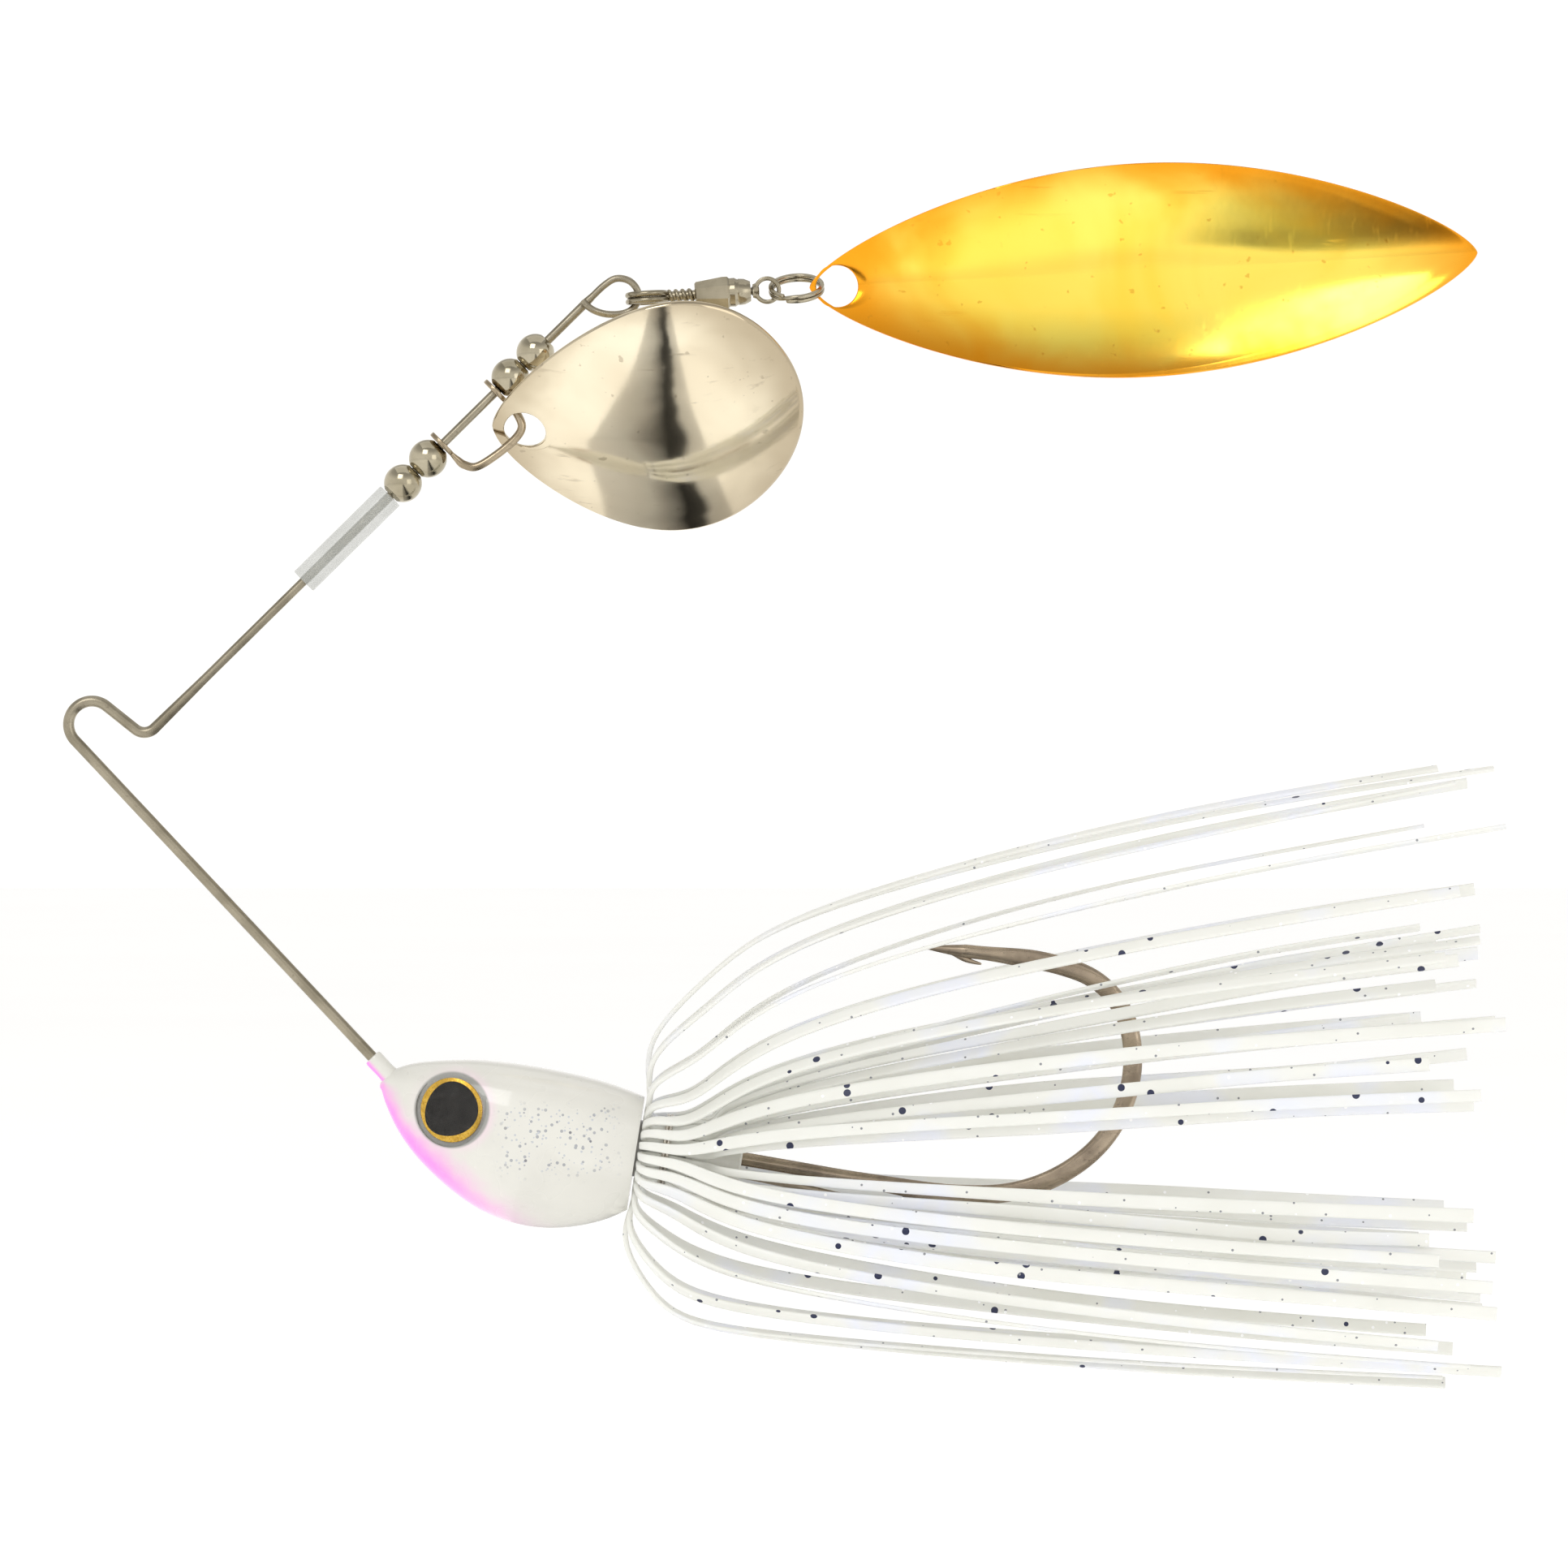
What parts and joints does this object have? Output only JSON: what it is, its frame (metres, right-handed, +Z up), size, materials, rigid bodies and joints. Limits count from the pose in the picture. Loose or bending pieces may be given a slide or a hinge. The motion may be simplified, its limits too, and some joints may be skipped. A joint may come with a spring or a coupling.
{
  "type": "spinnerbait",
  "caption": "Fishing lure: bent wire form with a weighted, eyed head, skirt and hook on one arm, and a round and a leaf blade on the other.",
  "frame": {"origin": "centre of the line-tie bend, on the wire form's plane", "axes": "+X back towards the hook and the leaf blade's tip, +Z up towards the blade arm, +Y away from the near side; the wire form lies in the XZ plane"},
  "size_m": [0.1205, 0.0231, 0.1026],
  "materials": {
    "wire": "bright drawn stainless, warm grey",
    "clear_silicone": "clear, slightly milky",
    "bead": "polished nickel",
    "nickel": "polished nickel, faintly warm",
    "nickel_blade": "mirror nickel with fine scratches",
    "bearing_steel": "polished",
    "gold_blade": "mirror gold plate with fine scratches",
    "head_paint": "gloss pearl white over cast lead, pink at the nose, silver glitter",
    "eye_foil": "gold foil with a black egg-shaped pupil",
    "eye_resin": "clear dome",
    "hook_steel": "bronze-grey forged steel",
    "keeper_wire": "bright wire",
    "tie_wire": "fine twisted wire",
    "skirt_silicone": "translucent pearl white with black and silver flecks"
  },
  "bodies": {
    "head_and_wire": {"wire_form": "wire", "head_casting": "head_paint", "near_eye_disc": "eye_foil", "far_eye_disc": "eye_foil", "near_eye_dome": "eye_resin", "far_eye_dome": "eye_resin", "hook": "hook_steel", "trailer_keeper": "keeper_wire", "skirt_tie_wire": "tie_wire", "upper_skirt_strands": "skirt_silicone", "near_skirt_strands": "skirt_silicone", "lower_skirt_strands": "skirt_silicone", "far_skirt_strands": "skirt_silicone"},
    "sleeve": {"wire_sleeve": "clear_silicone"},
    "lower_outer_bead": {"lower_outer_bead": "bead"},
    "lower_inner_bead": {"lower_inner_bead": "bead"},
    "clevis": {"clevis": "nickel"},
    "upper_inner_bead": {"upper_inner_bead": "bead"},
    "upper_outer_bead": {"upper_outer_bead": "bead"},
    "round_blade": {"round_blade": "nickel_blade"},
    "swivel": {"swivel_barrel": "nickel", "swivel_loop": "nickel", "swivel_balls": "bearing_steel"},
    "swivel_stem": {"swivel_stem": "nickel"},
    "split_ring": {"split_ring": "nickel"},
    "leaf_blade": {"leaf_blade": "gold_blade"}
  },
  "joints": [
    {"name": "sleeve_slide", "type": "slide", "parent": "head_and_wire", "child": "sleeve", "axis": [0.712, 0, 0.7022], "range_m": [-0.011, 0]},
    {"name": "bead_stack_slide", "type": "slide", "parent": "head_and_wire", "child": "lower_outer_bead", "axis": [0.712, 0, 0.7022], "range_m": [0, 0.0032]},
    {"name": "lower_bead_spin", "type": "hinge", "parent": "lower_outer_bead", "child": "lower_inner_bead", "pos_m": [0.0266, 0, 0.02073], "axis": [0.712, 0, 0.7022], "continuous": true},
    {"name": "clevis_spin", "type": "hinge", "parent": "lower_outer_bead", "child": "clevis", "pos_m": [0.0266, 0, 0.02073], "axis": [0.712, 0, 0.7022], "continuous": true},
    {"name": "upper_inner_bead_spin", "type": "hinge", "parent": "lower_outer_bead", "child": "upper_inner_bead", "pos_m": [0.0266, 0, 0.02073], "axis": [0.712, 0, 0.7022], "continuous": true},
    {"name": "upper_outer_bead_spin", "type": "hinge", "parent": "lower_outer_bead", "child": "upper_outer_bead", "pos_m": [0.0266, 0, 0.02073], "axis": [0.712, 0, 0.7022], "continuous": true},
    {"name": "round_blade_flap", "type": "hinge", "parent": "clevis", "child": "round_blade", "pos_m": [0.03595, 0, 0.0246], "axis": [-0.2588, 0, -0.9659], "range_deg": [-8, 8]},
    {"name": "swivel_swing", "type": "hinge", "parent": "head_and_wire", "child": "swivel", "pos_m": [0.04495, 0, 0.03565], "axis": [0, 1, 0], "range_deg": [-60, 12]},
    {"name": "swivel_spin", "type": "hinge", "parent": "swivel", "child": "swivel_stem", "pos_m": [0.05393, 0, 0.03622], "axis": [0.998, 0, 0.0628], "continuous": true},
    {"name": "split_ring_swing", "type": "hinge", "parent": "swivel_stem", "child": "split_ring", "pos_m": [0.0569, 0, 0.0364], "axis": [0, -1, 0], "range_deg": [-25, 40]},
    {"name": "leaf_blade_swing", "type": "hinge", "parent": "split_ring", "child": "leaf_blade", "pos_m": [0.06119, 0, 0.03667], "axis": [0, 1, 0], "range_deg": [-25, 25]}
  ]
}
